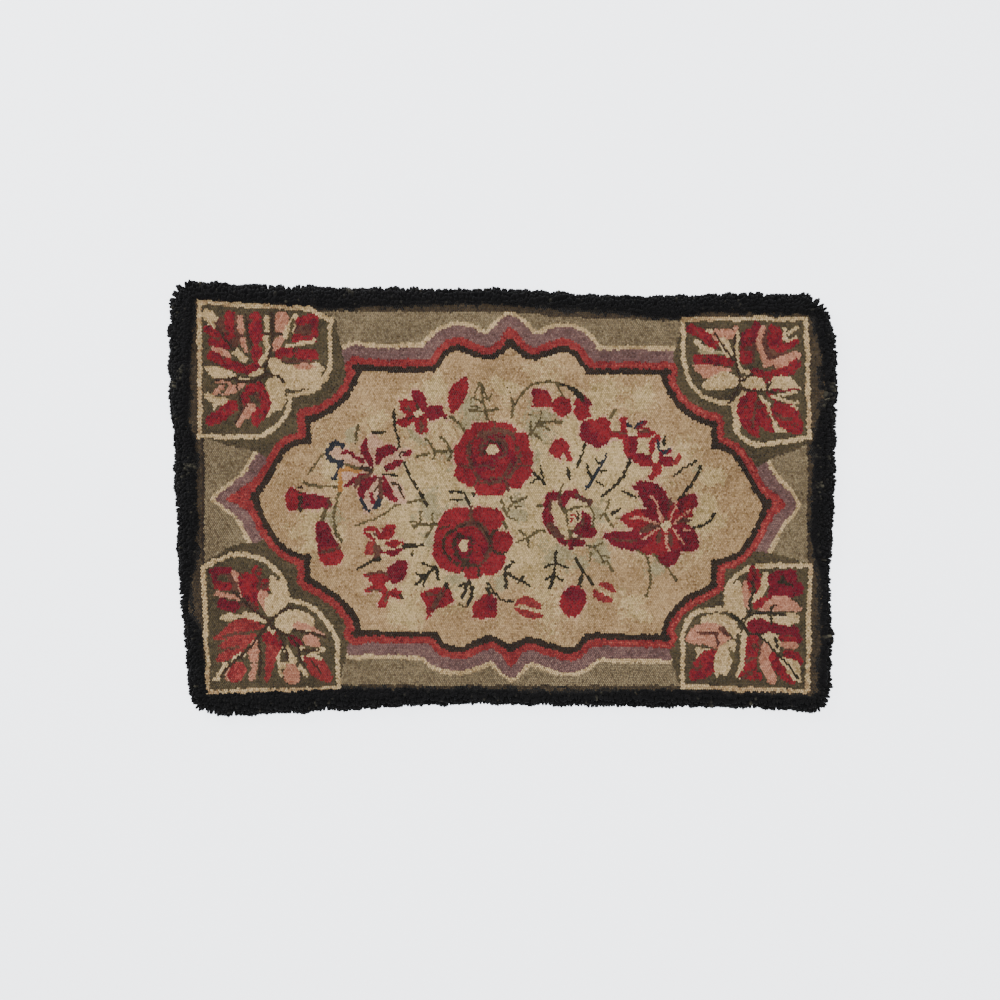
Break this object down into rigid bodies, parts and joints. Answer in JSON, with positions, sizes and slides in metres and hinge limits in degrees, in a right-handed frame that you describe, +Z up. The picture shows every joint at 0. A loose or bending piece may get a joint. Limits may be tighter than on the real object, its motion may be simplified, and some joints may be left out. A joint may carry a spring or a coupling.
{
  "type": "hooked rug",
  "caption": "Hand-hooked wool rug with a floral bouquet in a lobed medallion, leaf panels in the corners and a raised black shag border, lying flat and face up.",
  "frame": {"origin": "on the underside, below the middle of the rug's outline", "axes": "+X along the rug's length towards the right side of the bouquet, +Y across its width towards the bouquet's top, +Z up out of the pile"},
  "size_m": [1.021, 0.6632, 0.0174],
  "materials": {
    "hooked_pile": "hooked wool loops, matt",
    "shag": "clipped wool shag, matt",
    "hessian": "plain woven jute, matt"
  },
  "bodies": {
    "root": {"hooked_rug": "hooked_pile"}
  },
  "joints": []
}
